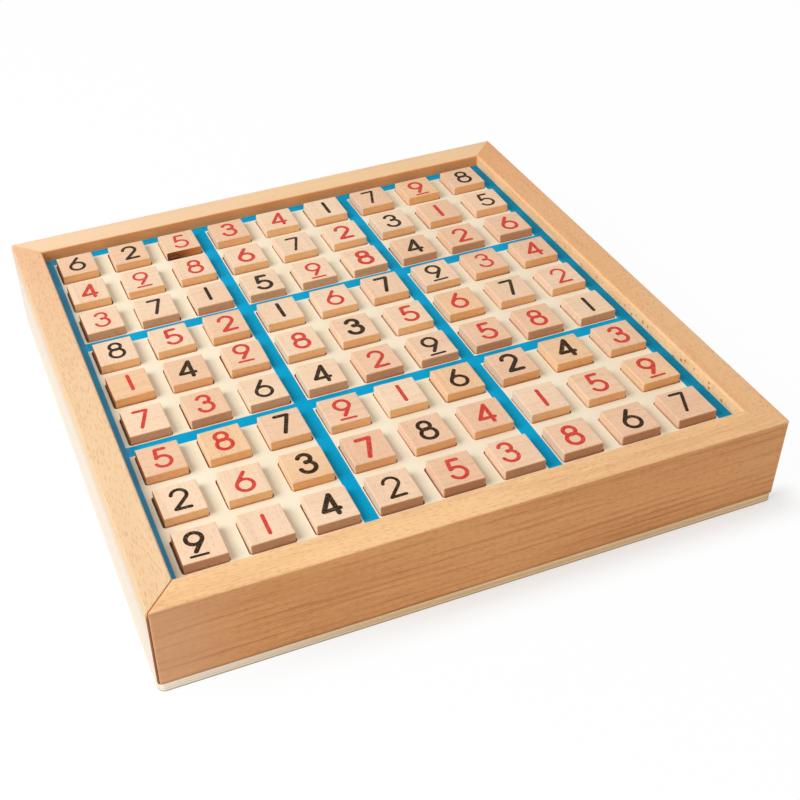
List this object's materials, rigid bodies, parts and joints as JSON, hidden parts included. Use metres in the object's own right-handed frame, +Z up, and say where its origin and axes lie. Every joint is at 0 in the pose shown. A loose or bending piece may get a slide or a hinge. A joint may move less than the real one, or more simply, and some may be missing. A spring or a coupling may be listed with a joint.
{
  "type": "sudoku board",
  "caption": "Square wooden sudoku board: mitred frame on a plywood base, a recessed board with a pocket for each loose number tile, and a tile drawer in one side.",
  "frame": {"origin": "middle of the underside of the base, on the surface the board stands on", "axes": "+Z up, +X to the right towards the drawer side, +Y to the back row of tiles"},
  "size_m": [0.225, 0.225, 0.036],
  "materials": {
    "frame_beech": "oiled beech",
    "drawer_beech": "plain sanded beech",
    "base_plywood": "sanded plywood",
    "inner_plywood": "plain plywood",
    "board_paint": "cream paint with blue block lines",
    "tile_wood": "sanded wood",
    "black_ink": "printed black ink",
    "red_ink": "printed red ink"
  },
  "bodies": {
    "board": {"front_rail": "frame_beech", "back_rail": "frame_beech", "left_rail": "frame_beech", "right_rail": "frame_beech", "base_panel": "base_plywood", "grid_panel": "board_paint", "pocket_floor": "inner_plywood", "front_guide": "drawer_beech", "back_guide": "drawer_beech"},
    "drawer": {"drawer_face": "frame_beech", "drawer_front_side": "drawer_beech", "drawer_back_side": "drawer_beech", "drawer_rear": "drawer_beech", "drawer_bottom": "inner_plywood"},
    "row1_left": {"row1_left_tiles": "tile_wood"},
    "row1_middle": {"row1_middle_tiles": "tile_wood"},
    "row1_right": {"row1_right_tiles": "tile_wood"},
    "row2_left": {"row2_left_tiles": "tile_wood"},
    "row2_middle": {"row2_middle_tiles": "tile_wood"},
    "row2_right": {"row2_right_tiles": "tile_wood"},
    "row3_left": {"row3_left_tiles": "tile_wood"},
    "row3_middle": {"row3_middle_tiles": "tile_wood"},
    "row3_right": {"row3_right_tiles": "tile_wood"},
    "row4_left": {"row4_left_tiles": "tile_wood"},
    "row4_middle": {"row4_middle_tiles": "tile_wood"},
    "row4_right": {"row4_right_tiles": "tile_wood"},
    "row5_left": {"row5_left_tiles": "tile_wood"},
    "row5_middle": {"row5_middle_tiles": "tile_wood"},
    "row5_right": {"row5_right_tiles": "tile_wood"},
    "row6_left": {"row6_left_tiles": "tile_wood"},
    "row6_middle": {"row6_middle_tiles": "tile_wood"},
    "row6_right": {"row6_right_tiles": "tile_wood"},
    "row7_left": {"row7_left_tiles": "tile_wood"},
    "row7_middle": {"row7_middle_tiles": "tile_wood"},
    "row7_right": {"row7_right_tiles": "tile_wood"},
    "row8_left": {"row8_left_tiles": "tile_wood"},
    "row8_middle": {"row8_middle_tiles": "tile_wood"},
    "row8_right": {"row8_right_tiles": "tile_wood"},
    "row9_left": {"row9_left_tiles": "tile_wood"},
    "row9_middle": {"row9_middle_tiles": "tile_wood"},
    "row9_right": {"row9_right_tiles": "tile_wood"}
  },
  "joints": [
    {"name": "drawer_slide", "type": "slide", "parent": "board", "child": "drawer", "axis": [1, 0, 0], "range_m": [0, 0.17]},
    {"name": "row1_left_lift", "type": "slide", "parent": "board", "child": "row1_left", "axis": [0, 0, 1], "range_m": [0, 0.03]},
    {"name": "row1_middle_lift", "type": "slide", "parent": "board", "child": "row1_middle", "axis": [0, 0, 1], "range_m": [0, 0.03]},
    {"name": "row1_right_lift", "type": "slide", "parent": "board", "child": "row1_right", "axis": [0, 0, 1], "range_m": [0, 0.03]},
    {"name": "row2_left_lift", "type": "slide", "parent": "board", "child": "row2_left", "axis": [0, 0, 1], "range_m": [0, 0.03]},
    {"name": "row2_middle_lift", "type": "slide", "parent": "board", "child": "row2_middle", "axis": [0, 0, 1], "range_m": [0, 0.03]},
    {"name": "row2_right_lift", "type": "slide", "parent": "board", "child": "row2_right", "axis": [0, 0, 1], "range_m": [0, 0.03]},
    {"name": "row3_left_lift", "type": "slide", "parent": "board", "child": "row3_left", "axis": [0, 0, 1], "range_m": [0, 0.03]},
    {"name": "row3_middle_lift", "type": "slide", "parent": "board", "child": "row3_middle", "axis": [0, 0, 1], "range_m": [0, 0.03]},
    {"name": "row3_right_lift", "type": "slide", "parent": "board", "child": "row3_right", "axis": [0, 0, 1], "range_m": [0, 0.03]},
    {"name": "row4_left_lift", "type": "slide", "parent": "board", "child": "row4_left", "axis": [0, 0, 1], "range_m": [0, 0.03]},
    {"name": "row4_middle_lift", "type": "slide", "parent": "board", "child": "row4_middle", "axis": [0, 0, 1], "range_m": [0, 0.03]},
    {"name": "row4_right_lift", "type": "slide", "parent": "board", "child": "row4_right", "axis": [0, 0, 1], "range_m": [0, 0.03]},
    {"name": "row5_left_lift", "type": "slide", "parent": "board", "child": "row5_left", "axis": [0, 0, 1], "range_m": [0, 0.03]},
    {"name": "row5_middle_lift", "type": "slide", "parent": "board", "child": "row5_middle", "axis": [0, 0, 1], "range_m": [0, 0.03]},
    {"name": "row5_right_lift", "type": "slide", "parent": "board", "child": "row5_right", "axis": [0, 0, 1], "range_m": [0, 0.03]},
    {"name": "row6_left_lift", "type": "slide", "parent": "board", "child": "row6_left", "axis": [0, 0, 1], "range_m": [0, 0.03]},
    {"name": "row6_middle_lift", "type": "slide", "parent": "board", "child": "row6_middle", "axis": [0, 0, 1], "range_m": [0, 0.03]},
    {"name": "row6_right_lift", "type": "slide", "parent": "board", "child": "row6_right", "axis": [0, 0, 1], "range_m": [0, 0.03]},
    {"name": "row7_left_lift", "type": "slide", "parent": "board", "child": "row7_left", "axis": [0, 0, 1], "range_m": [0, 0.03]},
    {"name": "row7_middle_lift", "type": "slide", "parent": "board", "child": "row7_middle", "axis": [0, 0, 1], "range_m": [0, 0.03]},
    {"name": "row7_right_lift", "type": "slide", "parent": "board", "child": "row7_right", "axis": [0, 0, 1], "range_m": [0, 0.03]},
    {"name": "row8_left_lift", "type": "slide", "parent": "board", "child": "row8_left", "axis": [0, 0, 1], "range_m": [0, 0.03]},
    {"name": "row8_middle_lift", "type": "slide", "parent": "board", "child": "row8_middle", "axis": [0, 0, 1], "range_m": [0, 0.03]},
    {"name": "row8_right_lift", "type": "slide", "parent": "board", "child": "row8_right", "axis": [0, 0, 1], "range_m": [0, 0.03]},
    {"name": "row9_left_lift", "type": "slide", "parent": "board", "child": "row9_left", "axis": [0, 0, 1], "range_m": [0, 0.03]},
    {"name": "row9_middle_lift", "type": "slide", "parent": "board", "child": "row9_middle", "axis": [0, 0, 1], "range_m": [0, 0.03]},
    {"name": "row9_right_lift", "type": "slide", "parent": "board", "child": "row9_right", "axis": [0, 0, 1], "range_m": [0, 0.03]}
  ]
}
